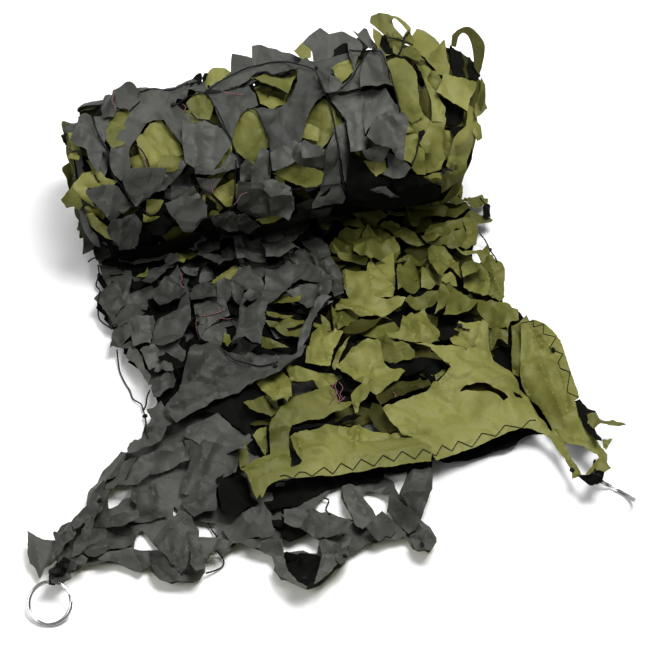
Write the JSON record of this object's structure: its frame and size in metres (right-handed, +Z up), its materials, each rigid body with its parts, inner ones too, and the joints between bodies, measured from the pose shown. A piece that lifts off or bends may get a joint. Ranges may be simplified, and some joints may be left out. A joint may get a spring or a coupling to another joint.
{
  "type": "camouflage net",
  "caption": "Leaf-cut camouflage net, charcoal on one face and olive on the other, rolled up with its loose end spread in front and a split ring tied at each front corner.",
  "frame": {"origin": "middle of the bounding box on the floor that the net lies on", "axes": "+X along the roll towards its thicker end, +Y from the loose end to the roll, +Z up"},
  "size_m": [0.5655, 0.6036, 0.2066],
  "materials": {
    "dark_cloth": "matt coated polyester, charcoal face",
    "olive_cloth": "slightly silky polyester, olive face",
    "net_cord": "twisted dark cord",
    "ring_steel": "bright plated spring steel"
  },
  "bodies": {
    "root": {"roll": "dark_cloth", "dark_layers": "dark_cloth", "olive_layer": "olive_cloth", "corner_tie_left": "net_cord", "corner_tie_right": "net_cord", "split_ring_left": "ring_steel", "split_ring_right": "ring_steel"}
  },
  "joints": []
}
